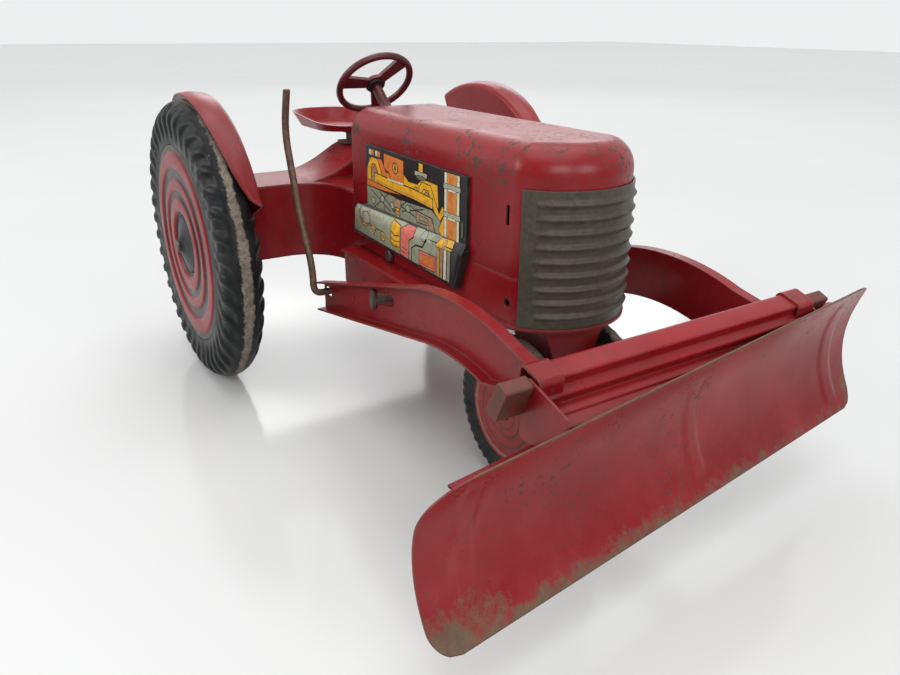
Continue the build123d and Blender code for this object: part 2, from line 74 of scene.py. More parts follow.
# ---- camera, floor and light --------------------------------------------------------
camera = bpy.data.objects.new("camera", bpy.data.cameras.new("camera"))
bpy.context.collection.objects.link(camera)
PITCH, ROLL = radians(22.986), 0.0121730
AHEAD = Vector((-0.8377, 0.5461, 0)).normalized()
ACROSS = Vector((0.5461, 0.8377, 0)).normalized()
EYE = at(375.50, -182.75, 173.77)
SENSOR, PHOTO_WIDTH, FOCAL = 36, 900, 743.393


def aim_camera():
    """Level heading, then pitch down, then roll, as fitted to the photograph."""
    forward = AHEAD * cos(PITCH) + Vector((0, 0, -sin(PITCH)))
    level_up = AHEAD * sin(PITCH) + Vector((0, 0, cos(PITCH)))
    right = ACROSS * cos(ROLL) + level_up * sin(ROLL)
    up = level_up * cos(ROLL) - ACROSS * sin(ROLL)
    turn = Matrix((right, up, -forward)).transposed()
    camera.matrix_world = Matrix.Translation(EYE) @ turn.to_4x4()


camera.data.sensor_width = SENSOR
camera.data.lens = FOCAL / PHOTO_WIDTH * SENSOR
camera.data.clip_start = 0.01
aim_camera()
bpy.context.scene.camera = camera
bpy.context.scene.view_settings.view_transform = "Standard"


def light(name, place, target, size, power, colour=(1, 1, 1)):
    """A rectangular lamp, aimed at a point."""
    data = bpy.data.lights.new(name, "AREA")
    data.shape = "RECTANGLE"
    data.size, data.size_y = size
    data.energy = power
    data.color = colour
    lamp = bpy.data.objects.new(name, data)
    bpy.context.collection.objects.link(lamp)
    lamp.location = place
    lamp.rotation_euler = (Vector(target) - Vector(place)).to_track_quat("-Z", "Y").to_euler()


light("overhead", (0.05, 0.05, 2.6), (0, 0, 0), (3.2, 2.4), 50)
light("window", (-0.45, -1.15, 0.70), (0, 0, 0.05), (0.9, 0.5), 7.5, (1, 0.99, 0.97))
light("front_fill", (1.30, 0.25, 0.62), (0.05, 0, 0.05), (0.45, 0.4), 4.2)
light("front_window", (1.10, -0.45, 0.66), (0.05, 0, 0.05), (0.40, 0.4), 4.4)
light("back_window", (-1.45, 0.95, 0.85), (0, 0, 0.1), (1.4, 0.5), 5)


def light_room():
    """White behind the toy, as the backdrop in the photograph, and half as bright behind the camera."""
    world = bpy.data.worlds.new("room")
    bpy.context.scene.world = world
    world.use_nodes = True
    nodes, links = world.node_tree.nodes, world.node_tree.links
    sky = nodes["Background"]
    sky.inputs[0].default_value = (0.90, 0.915, 0.92, 1)
    toward = nodes.new("ShaderNodeVectorMath")
    toward.operation = "DOT_PRODUCT"
    toward.inputs[1].default_value = (-0.80, 0.52, 0.30)
    level = nodes.new("ShaderNodeMapRange")
    for socket, value in ((1, -0.45), (2, 0.45), (3, 0.42), (4, 0.95)):
        level.inputs[socket].default_value = value
    links.new(nodes.new("ShaderNodeTexCoord").outputs["Generated"], toward.inputs[0])
    links.new(toward.outputs["Value"], level.inputs[0])
    links.new(level.outputs[0], sky.inputs[1])


light_room()


# ---- materials ----------------------------------------------------------------------
class Graph:
    """A material's node tree, built with short calls."""

    def __init__(self, name):
        self.material = bpy.data.materials.new(name)
        self.material.use_nodes = True
        self.tree = self.material.node_tree
        self.shader = self.tree.nodes["Principled BSDF"]
        self.place = self.add("ShaderNodeTexCoord").outputs["Object"]

    def add(self, kind, *inputs, **settings):
        node = self.tree.nodes.new(kind)
        for key, value in settings.items():
            setattr(node, key, value)
        for key, value in enumerate(inputs):
            self.put(node.inputs[key], value)
        return node

    def put(self, socket, value):
        if value is None:
            return
        if isinstance(value, bpy.types.NodeSocket):
            self.tree.links.new(value, socket)
        else:
            socket.default_value = value

    def math(self, operation, a, b=None, c=None):
        return self.add("ShaderNodeMath", a, b, c, operation=operation).outputs[0]

    def times(self, first, *rest):
        for value in rest:
            first = self.math("MULTIPLY", first, value)
        return first

    def most(self, first, *rest):
        for value in rest:
            first = self.math("MAXIMUM", first, value)
        return first

    def swing(self, value, by, middle=0.5):
        """A noise centred on nothing and scaled."""
        return self.math("MULTIPLY", self.math("SUBTRACT", value, middle), by)

    def ramp(self, value, low, high, to_low=0.0, to_high=1.0):
        node = self.add("ShaderNodeMapRange", value, low, high, to_low, to_high)
        node.clamp = True
        return node.outputs[0]

    def between(self, value, low, high, soft):
        """1 from low to high, fading over soft millimetres either side."""
        rise = self.ramp(value, (low - soft) * MM, (low + soft) * MM)
        return self.times(rise, self.ramp(value, (high + soft) * MM, (high - soft) * MM))

    def noise(self, scale, detail=3.0, rough=0.55, place=None, stretch=None, seed=0.0):
        place = place or self.place
        shift = self.add("ShaderNodeMapping", place)
        shift.inputs["Location"].default_value = (seed, seed * 0.7, -seed * 0.4)
        if stretch:
            shift.inputs["Scale"].default_value = stretch
        node = self.add("ShaderNodeTexNoise")
        self.put(node.inputs["Vector"], shift.outputs[0])
        node.inputs["Scale"].default_value = scale
        node.inputs["Detail"].default_value = detail
        node.inputs["Roughness"].default_value = rough
        return node.outputs["Fac"]

    def mix(self, factor, a, b):
        node = self.add("ShaderNodeMix", data_type="RGBA")
        self.put(node.inputs["Factor"], factor)
        for socket, value in ((node.inputs[6], a), (node.inputs[7], b)):
            self.put(socket, (*value, 1) if isinstance(value, tuple) and len(value) == 3 else value)
        return node.outputs[2]

    def axes(self, place=None):
        return self.add("ShaderNodeSeparateXYZ", place or self.place).outputs

    def radius(self, centre):
        """Distance from a wheel's axle."""
        x, _, z = self.axes()
        dx = self.math("SUBTRACT", x, centre[0])
        dz = self.math("SUBTRACT", z, centre[2])
        return self.math("SQRT", self.math("ADD", self.times(dx, dx), self.times(dz, dz)))

    def edge(self, radius=0.0007):
        """1 at a sharp edge, 0 away from it."""
        bevel = self.add("ShaderNodeBevel", samples=4)
        bevel.inputs["Radius"].default_value = radius
        plain = self.add("ShaderNodeNewGeometry").outputs["Normal"]
        same = self.add("ShaderNodeVectorMath", bevel.outputs[0], plain, operation="DOT_PRODUCT")
        return self.ramp(same.outputs["Value"], 0.995, 0.80)

    def finish(self, colour, rough, bump=None, strength=0.25, distance=0.0003,
               metallic=0.0, coat=0.0, soft_edge=None, shine=0.5):
        """Wires colour, roughness and bump into the shader, rounding sharp edges over soft_edge metres."""
        self.put(self.shader.inputs["Base Color"], colour)
        self.put(self.shader.inputs["Roughness"], rough)
        self.shader.inputs["Metallic"].default_value = metallic
        self.shader.inputs["Specular IOR Level"].default_value = shine
        self.shader.inputs["Coat Weight"].default_value = coat
        self.shader.inputs["Coat Roughness"].default_value = 0.25
        if bump is not None:
            node = self.add("ShaderNodeBump")
            node.inputs["Strength"].default_value = strength
            node.inputs["Distance"].default_value = distance
            self.put(node.inputs["Height"], bump)
            if soft_edge:
                bevel = self.add("ShaderNodeBevel", samples=4)
                bevel.inputs["Radius"].default_value = soft_edge
                self.put(node.inputs["Normal"], bevel.outputs[0])
            self.put(self.shader.inputs["Normal"], node.outputs[0])
        return self.material


RED = (0.245, 0.006, 0.010)
DEEP_RED = (0.160, 0.004, 0.007)
FADED_RED = (0.26, 0.024, 0.026)
BROWN = (0.105, 0.060, 0.042)
DARK_CHIP = (0.052, 0.032, 0.025)
OLIVE_RUST = (0.135, 0.090, 0.045)


def enamel(name, chips=0.5, edges=0.6, fade=0.35, dents=0.3, rust=None, top_chips=None,
           seed=0.0, rings=None, shine=0.30, soft=0.0006):
    """Worn red enamel on tin: fading, fine grime, chips down to brown, bare brown edges."""
    g = Graph(name)
    broad = g.noise(14, 3, 0.6, seed=seed)
    fine = g.noise(260, 4, 0.6, seed=seed + 1)
    colour = g.mix(g.ramp(broad, 0.35, 0.7), DEEP_RED, RED)
    faded = g.times(g.ramp(g.noise(32, 4, 0.65, seed=seed + 2), 0.48, 0.75), fade)
    colour = g.mix(faded, colour, FADED_RED)
    if rings:
        colour = rings(g, colour)
    grime = g.times(g.ramp(fine, 0.52, 0.72), 0.15)
    colour = g.mix(grime, colour, BROWN)
    # chips gather in patches
    patch = g.ramp(g.noise(26, 2, 0.5, seed=seed + 3), 0.50, 0.62)
    speck = g.ramp(g.noise(420, 3, 0.6, seed=seed + 4, stretch=(0.6, 1, 1)), 0.60, 0.63)
    chip = g.times(patch, speck, chips)
    if top_chips:
        low, high = top_chips
        height = g.axes()[2]
        band = g.times(g.ramp(height, low, low + 0.006), g.ramp(height, high, high - 0.004))
        more = g.ramp(g.noise(430, 3, 0.65, seed=seed + 5), 0.555, 0.58)
        groups = g.ramp(g.noise(48, 2, 0.5, seed=seed + 6), 0.475, 0.55)
        chip = g.most(chip, g.times(band, more, groups))
    edge = g.edge()
    # edges are worn bare, unevenly
    uneven = g.math("ADD", edge, g.swing(g.noise(150, 3, seed=seed + 7), 1.6))
    worn = g.times(g.ramp(uneven, 0.35, 0.75), edges, g.ramp(edge, 0.0, 0.15))
    colour = g.mix(worn, colour, BROWN)
    colour = g.mix(chip, colour, DARK_CHIP)
    bare = g.most(chip, worn)
    if rust:
        level = rust(g)
        ragged = g.math("ADD", level, g.swing(g.noise(170, 6, 0.8, seed=seed + 8), 1.9))
        rusty = g.times(g.ramp(ragged, 0.40, 0.84), g.ramp(level, 0.02, 0.25))
        tint = g.mix(g.ramp(g.noise(300, 4, 0.7, seed=seed + 9), 0.4, 0.65), BROWN, OLIVE_RUST)
        colour = g.mix(rusty, colour, tint)
        bare = g.most(bare, rusty)
    gloss = g.ramp(g.noise(60, 4, 0.6, seed=seed + 10), 0.3, 0.7, 0.25, 0.37)
    rough = g.math("ADD", gloss, g.times(bare, 0.28))
    bump = g.math("ADD", g.times(g.noise(900, 2), 0.10), g.times(bare, -0.45))
    bump = g.math("ADD", bump, g.times(g.noise(30, 2, 0.45, seed=seed + 11), dents * 6))
    return g.finish(colour, rough, bump, strength=0.35, distance=0.00025, soft_edge=soft, shine=shine)


def plain(name, colour, second, rough=0.5, metallic=0.0, grain=300.0, edge_colour=None, shine=0.3):
    """A small part's finish: two tones mottled, with its edges worn."""
    g = Graph(name)
    tone = g.mix(g.ramp(g.noise(grain, 4, 0.65), 0.40, 0.66), colour, second)
    tone = g.mix(g.times(g.ramp(g.noise(40, 3), 0.4, 0.7), 0.35), tone, second)
    if edge_colour:
        tone = g.mix(g.times(g.edge(0.0004), 0.7), tone, edge_colour)
    gloss = g.ramp(g.noise(120, 3), 0.3, 0.7, rough - 0.08, rough + 0.12)
    return g.finish(tone, gloss, g.noise(700, 3), strength=0.3, distance=0.0002,
                    metallic=metallic, shine=shine, soft_edge=0.0005)


# ---- mesh helpers -------------------------------------------------------------------
def piece(name, bm, material, body, *nodes, slot=None, sharp=40):
    """Makes a visible piece that rides a body and stands in for some CAD nodes."""
    mesh = bpy.data.meshes.new(name)
    bm.to_mesh(mesh)
    bm.free()
    obj = bpy.data.objects.new(name, mesh)
    bpy.context.collection.objects.link(obj)
    for m in material if isinstance(material, (list, tuple)) else [material]:
        mesh.materials.append(m)
    mesh.shade_smooth()
    if sharp:
        mesh.set_sharp_from_angle(angle=radians(sharp))
    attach(obj, body)
    if nodes:
        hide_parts(*nodes)
    return obj


def sheet_mesh(point, rows, columns, closed_rows=False, closed_columns=False):
    """A grid of quads through point(row, column)."""
    bm = bmesh.new()
    grid = [[bm.verts.new(point(i, j)) for j in range(columns)] for i in range(rows)]
    for i in range(rows if closed_rows else rows - 1):
        for j in range(columns if closed_columns else columns - 1):
            a, b = grid[i], grid[(i + 1) % rows]
            k = (j + 1) % columns
            bm.faces.new((a[j], a[k], b[k], b[j]))
    return bm


def closed_sheet(point, rows, columns, thick):
    """A sheet with thickness: point(row, column, inward) gives both faces, and a rim joins them."""
    bm = bmesh.new()
    front, back = ([[bm.verts.new(point(i, j, inward)) for j in range(columns)] for i in range(rows)]
                   for inward in (0, thick))
    for i in range(rows - 1):
        for j in range(columns - 1):
            bm.faces.new((front[i][j], front[i][j + 1], front[i + 1][j + 1], front[i + 1][j]))
            bm.faces.new((back[i][j], back[i + 1][j], back[i + 1][j + 1], back[i][j + 1]))
    rim = [(0, j) for j in range(columns)] + [(i, columns - 1) for i in range(1, rows)]
    rim += [(rows - 1, j) for j in range(columns - 2, -1, -1)] + [(i, 0) for i in range(rows - 2, 0, -1)]
    for (i, j), (k, m) in zip(rim, rim[1:] + rim[:1]):
        bm.faces.new((front[i][j], back[i][j], back[k][m], front[k][m]))
    bmesh.ops.recalc_face_normals(bm, faces=bm.faces)
    return bm


def skin(bm, rings):
    """Joins rings of vertices into a tube with closed ends."""
    count = len(rings[0])
    for a, b in zip(rings, rings[1:]):
        for k in range(count):
            bm.faces.new((a[k], a[(k + 1) % count], b[(k + 1) % count], b[k]))
    bm.faces.new(rings[0][::-1])
    bm.faces.new(rings[-1])
    bmesh.ops.recalc_face_normals(bm, faces=bm.faces)


def about(centre, side, out, r, turn):
    """A point on a wheel: out along the axle from its middle plane, r from the axle."""
    return Vector((centre[0] + r * MM * cos(turn), side * out * MM, centre[2] + r * MM * sin(turn)))


# ---- rear and front tyres -----------------------------------------------------------
def tyre_material(name, centre, track, crown_r, half, stripe):
    """Black enamel, with the tread worn through along a ragged stripe round the crown."""
    g = Graph(name)
    radius = g.radius(centre)
    out = g.math("SUBTRACT", g.math("ABSOLUTE", g.axes()[1]), track * MM)
    black = g.mix(g.ramp(g.noise(120, 4, 0.65), 0.35, 0.7), (0.005, 0.005, 0.006), (0.016, 0.017, 0.018))
    grey = g.times(g.ramp(g.noise(55, 5, 0.7, seed=2.0), 0.48, 0.72), 0.55)
    black = g.mix(grey, black, (0.036, 0.037, 0.037))
    offset, width, amount = stripe
    away = g.math("ABSOLUTE", g.math("SUBTRACT", out, offset * MM))
    wander = g.swing(g.noise(34, 5, 0.70, seed=4.0), width * 3.0 * MM, middle=0.47)
    ragged = g.swing(g.noise(240, 4, 0.75, seed=8.0), width * 2.6 * MM)
    wander = g.math("ADD", wander, ragged)
    worn = g.ramp(g.math("SUBTRACT", away, wander), width * MM, (width * 0.62) * MM)
    near_crown = g.ramp(radius, (crown_r - 0.22 * half) * MM, (crown_r - 0.10 * half) * MM)
    speckle = g.ramp(g.noise(650, 4, 0.7, seed=5.0), 0.30, 0.52, 0.35, 1.0)
    worn = g.times(worn, near_crown, amount, speckle)
    mottle = g.ramp(g.noise(200, 4, 0.6, seed=6.0), 0.35, 0.65)
    tan = g.mix(mottle, (0.150, 0.118, 0.088), (0.245, 0.212, 0.175))
    colour = g.mix(worn, black, tan)
    nick = g.times(g.ramp(g.noise(330, 3, 0.6, seed=7.0), 0.69, 0.72), 0.5)
    colour = g.mix(nick, colour, (0.20, 0.16, 0.12))
    rough = g.math("ADD", g.ramp(g.noise(80, 4), 0.3, 0.7, 0.30, 0.50), g.times(worn, 0.3))
    return g.finish(colour, rough, g.noise(600, 4, 0.6), strength=0.35, distance=0.0003, shine=0.14)


def tyre(name, side, centre, track, crown_r, half, rim_r, lugs, depth, slant, reach):
    """Hollow pressed tyre, with slanting lugs embossed across both shoulders."""
    steps, turns = 46, lugs * 14
    lean = 0.14 * half
    inner = crown_r - half

    def profile(k):
        """Rim to rim over the crown: offset out, radius, section angle, height up the wall."""
        t = k / (steps - 1)
        if t < 0.16:
            u = t / 0.16
            return half - lean + lean * u, rim_r + (inner - rim_r) * u, 0.001, u
        if t > 0.84:
            u = (1 - t) / 0.16
            return -(half - lean + lean * u), rim_r + (inner - rim_r) * u, pi - 0.001, u
        a = (t - 0.16) / 0.68 * pi
        return half * cos(a), inner + half * sin(a), a, 1

    def point(i, j):
        out, r, a, wall = profile(j)
        turn = 2 * pi * i / turns
        if wall > 0.1:
            shoulder = abs(cos(a)) + 0.35 * (1 - wall)
            # nothing on the worn crown, full on the shoulder, fading down the wall
            weight = smooth((shoulder - reach) / 0.28)
            lead = -slant * (shoulder - reach) + (0.5 if cos(a) < 0 else 0)
            wave = (lugs * turn / (2 * pi) + lead) % 1
            bar = smooth((abs(wave - 0.5) - 0.13) / 0.17)
            cut = depth * weight * bar * smooth(wall * 1.4 - 0.1)
            dip = 0.10 * noise.noise(Vector((i * 0.05, j * 0.2, side)))
            r -= (cut + max(0, dip)) * (0.35 + 0.65 * sin(a))
            out -= cut * cos(a) * 0.8
        return about(centre, side, track + out, r, turn)

    bm = sheet_mesh(point, turns, steps, closed_rows=True)
    if side < 0:
        bmesh.ops.reverse_faces(bm, faces=bm.faces)
    return bm


rear_tyre = tyre_material("rear_tyre_black", REAR, 88.7, 69.4, 9.9, (0.3, 2.0, 0.9))
front_tyre = tyre_material("front_tyre_black", FRONT, 19.4, 31.9, 4.8, (0.0, 3.0, 0.7))

for side_name, side in SIDES:
    bm = tyre("rear", side, REAR, 88.7, 69.4, 9.9, 48.9, 40, 1.25, 0.8, 0.46)
    piece(f"rear_tyre_{side_name}", bm, rear_tyre, f"rear_wheel_{side_name}",
          f"rear_tyre_outer_{side_name}", f"rear_tyre_inner_{side_name}", slot="black_tyre_tin")
    bm = tyre("front", side, FRONT, 19.4, 31.9, 4.8, 20.4, 44, 0.45, 0.6, 0.45)
    piece(f"front_tyre_{side_name}", bm, front_tyre, f"front_wheel_{side_name}",
          f"front_tyre_outer_{side_name}", f"front_tyre_inner_{side_name}", slot="black_tyre_tin")


# ---- discs --------------------------------------------------------------------------
def ring_paint(centre, rings, dark, line=None):
    """Concentric rings of another colour, printed on a disc."""
    def paint(g, colour):
        r = g.radius(centre)
        for low, high in rings:
            colour = g.mix(g.times(g.between(r, low, high, 0.25), 0.93), colour, dark)
        if line:
            low, high, tone = line
            colour = g.mix(g.times(g.between(r, low, high, 0.15), 0.8), colour, tone)
        return colour
    return paint


BLACK_RINGS = ((45.6, 50), (32.6, 37.8), (23.2, 27.0), (14.0, 16.4))
FINE_LINES = ((14.2, 14.9), (9.4, 10.1), (5.9, 6.5))
TAN_LINE = (17.9, 19.0, (0.22, 0.13, 0.07))
rear_disc = enamel("rear_disc_red", chips=0.35, edges=0.25, fade=0.8, dents=0.1, seed=3.0, shine=0.16,
                   rings=ring_paint(REAR, BLACK_RINGS, (0.017, 0.016, 0.016)))
front_disc = enamel("front_disc_red", chips=0.5, edges=0.25, fade=0.9, dents=0.1, seed=4.0,
                    rings=ring_paint(FRONT, FINE_LINES, (0.05, 0.035, 0.03), TAN_LINE))


def disc(side, centre, plane, steps, turns=144):
    """Pressed disc through (radius, height) pairs, heights measured out from its plane."""
    rows = []
    for (r0, h0), (r1, h1) in zip(steps, steps[1:]):
        for k in range(4):
            t = k / 4
            rows.append((r0 + (r1 - r0) * t, h0 + (h1 - h0) * smooth(t)))
    rows.append(steps[-1])
    back = [(r, h - 0.5) for r, h in reversed(rows)]
    loop = rows + back

    def point(i, j):
        r, h = loop[j]
        return about(centre, side, plane + h, r, 2 * pi * i / turns)

    bm = sheet_mesh(point, turns, len(loop), closed_rows=True, closed_columns=True)
    bmesh.ops.recalc_face_normals(bm, faces=bm.faces)
    return bm


REAR_FACE = reach_of("rear_disc_right")
FRONT_FACE = reach_of("front_disc_right")
REAR_STEPS = ((2.1, -1.1), (13.8, -1.1), (15.4, -0.9), (17.5, 0.75), (22.5, 0.75), (24.4, -0.1),
              (26.5, -0.1), (28.5, 0.7), (31.8, 0.7), (33.4, -0.1), (37.2, -0.1), (39.0, 0.8),
              (44.6, 0.8), (46.0, 0.1), (48.7, 0))
FRONT_STEPS = ((1.8, 0.1), (5.6, 0.15), (6.2, -0.1), (6.8, 0.15), (9.2, 0.2), (9.8, -0.1),
               (10.4, 0.2), (13.8, 0.25), (14.6, -0.15), (15.4, 0.1), (17.6, 0.1), (18.4, 0.45), (20.2, 0.35))
for side_name, side in SIDES:
    for wheel, centre, plane, steps, paint in (("rear", REAR, REAR_FACE, REAR_STEPS, rear_disc),
                                               ("front", FRONT, FRONT_FACE, FRONT_STEPS, front_disc)):
        piece(f"{wheel}_face_{side_name}", disc(side, centre, plane, steps), paint,
              f"{wheel}_wheel_{side_name}", f"{wheel}_disc_{side_name}", slot="red_wheel_disc")


# ---- blade --------------------------------------------------------------------------
BLADE_AT = at(245.5, 0.36, 24.5 + 27)
BLADE_TURN = (Matrix.Rotation(radians(2.8), 3, "X") @ Matrix.Rotation(radians(4.7), 3, "Z"))
CHORD, CURVE_R, HALF = 27.0, 44.0, 108.0
SAG = CURVE_R - sqrt(CURVE_R**2 - CHORD**2)


def blade_local(x, y, z):
    return BLADE_AT + BLADE_TURN @ Vector((x * MM, y * MM, z * MM))


def blade_width(z):
    """Half width at height z: round corners, larger at the top."""
    if z > CHORD - 15:
        return HALF - 15 + sqrt(max(0, 15**2 - (z - CHORD + 15) ** 2))
    if z < 8 - CHORD:
        return HALF - 8 + sqrt(max(0, 8**2 - (z + CHORD - 8) ** 2))
    return HALF


def bead(y, z):
    """Height of the embossed ribs: one near each end, a shorter one in the middle."""
    end = smooth((4.9 - abs(abs(y) - 92.5 + 0.06 * z)) / 2.4) * smooth((25 - abs(z)) / 6)
    mid = smooth((4.2 - abs(y - 5 + 0.12 * z)) / 2.2) * smooth((21 - abs(z + 2)) / 6)
    return 0.75 * end + 0.8 * mid


def blade_mesh():
    """The curved plate, its columns drawn in toward the round corners at top and bottom."""
    rows, columns = 56, 240

    def point(i, j, inward):
        z = -CHORD + 2 * CHORD * i / (rows - 1)
        s = -1 + 2 * j / (columns - 1)
        corner = smooth((abs(z) - 8) / 16)
        y = blade_width(z) * (s * (1 - corner) + corner * (1.06 * s - 0.06 * s**3))
        y = max(-blade_width(z), min(blade_width(z), y))
        wobble = 0.25 * noise.noise(Vector((y * 0.03, z * 0.05, 3))) * smooth((CHORD - abs(z)) / 10)
        x = (CURVE_R - SAG) - sqrt(CURVE_R**2 - z**2)
        return blade_local(x - inward + max(0, bead(y, z)) * 0.7 + min(0, wobble), y, z)

    return closed_sheet(point, rows, columns, 0.75)


def blade_rust(g):
    """Rust rises from the bottom edge, more at the right-hand corner, and a little along the top."""
    local = g.add("ShaderNodeMapping", g.place, vector_type="POINT")
    inverse = BLADE_TURN.inverted()
    local.inputs["Rotation"].default_value = inverse.to_euler()
    local.inputs["Location"].default_value = -(inverse @ BLADE_AT)
    _, y, z = g.axes(local.outputs[0])
    low = g.times(g.ramp(z, (-CHORD + 8) * MM, -CHORD * MM), g.ramp(y, 40 * MM, -80 * MM, 0.62, 0.9))
    corner = g.times(g.ramp(y, -60 * MM, -106 * MM), g.ramp(z, (-CHORD + 20) * MM, (-CHORD + 3) * MM))
    far = g.times(g.ramp(y, 92 * MM, 106 * MM), g.ramp(z, 4 * MM, -20 * MM), 0.8)
    top = g.times(g.ramp(z, (CHORD - 3) * MM, CHORD * MM), 0.85)
    return g.most(low, corner, far, top)


blade_red = enamel("blade_red", chips=0.8, edges=0.9, fade=0.75, dents=0.25, rust=blade_rust, seed=7.0)
piece("blade_plate", blade_mesh(), blade_red, "lift_frame", "blade", slot="red_blade")


# ---- stiffener ----------------------------------------------------------------------
def trimmed_stiffener(short=12, shallow=1.3):
    """The folded strip, its right-hand end and back edge cut back in the blade's own axes."""
    source = NODES["blade_stiffener"]
    bm = bmesh.new()
    bm.from_mesh(source.data)
    bm.transform(source.matrix_world)
    inverse = BLADE_TURN.inverted()
    local = [inverse @ (v.co - BLADE_AT) / MM for v in bm.verts]
    for axis, amount in ((1, short), (0, shallow)):
        edge = [0, 0, 0]
        edge[axis] = min(p[axis] for p in local) + amount
        way = BLADE_TURN @ Vector([1 if k == axis else 0 for k in range(3)])
        everything = bm.verts[:] + bm.edges[:] + bm.faces[:]
        cut = bmesh.ops.bisect_plane(bm, geom=everything, plane_co=blade_local(*edge), plane_no=way,
                                     dist=1e-7, clear_inner=True)
        rim = [e for e in cut["geom_cut"] if isinstance(e, bmesh.types.BMEdge)]
        bmesh.ops.contextual_create(bm, geom=rim)
    bmesh.ops.remove_doubles(bm, verts=bm.verts[:], dist=1e-7)
    bmesh.ops.recalc_face_normals(bm, faces=bm.faces[:])
    return bm


strip_red = enamel("strip_red", chips=0.4, edges=0.9, fade=0.3, dents=0.1, seed=8.0)
piece("stiffener_strip", trimmed_stiffener(), strip_red, "lift_frame", "blade_stiffener",
      slot="red_lift_steel", sharp=30)


# ---- engine pictures ----------------------------------------------------------------
INK = {
    "black": (0.010, 0.010, 0.010),
    "green": (0.25, 0.27, 0.19),
    "pale": (0.36, 0.37, 0.28),
    "shade": (0.13, 0.14, 0.10),
    "yellow": (0.72, 0.37, 0.02),
    "orange": (0.62, 0.17, 0.03),
    "cream": (0.66, 0.60, 0.45),
    "tan": (0.35, 0.22, 0.13),
    "pink": (0.66, 0.16, 0.12),
    "ochre": (0.50, 0.26, 0.05),
}
INKS = list(INK)


def ink(name, colour):
    """Printed ink: slightly uneven, rubbed, glossy."""
    g = Graph(f"ink_{name}")
    dark = tuple(c * 0.72 for c in colour)
    tone = g.mix(g.ramp(g.noise(500, 4, 0.6), 0.42, 0.66), colour, dark)
    rub = g.times(g.ramp(g.noise(350, 4, 0.7, seed=3.0), 0.62, 0.66), 0.55)
    tone = g.mix(rub, tone, (0.09, 0.07, 0.05))
    return g.finish(tone, 0.36, g.noise(700, 2), strength=0.2, distance=0.0001, coat=0.10)


ink_materials = [ink(name, INK[name]) for name in INKS]


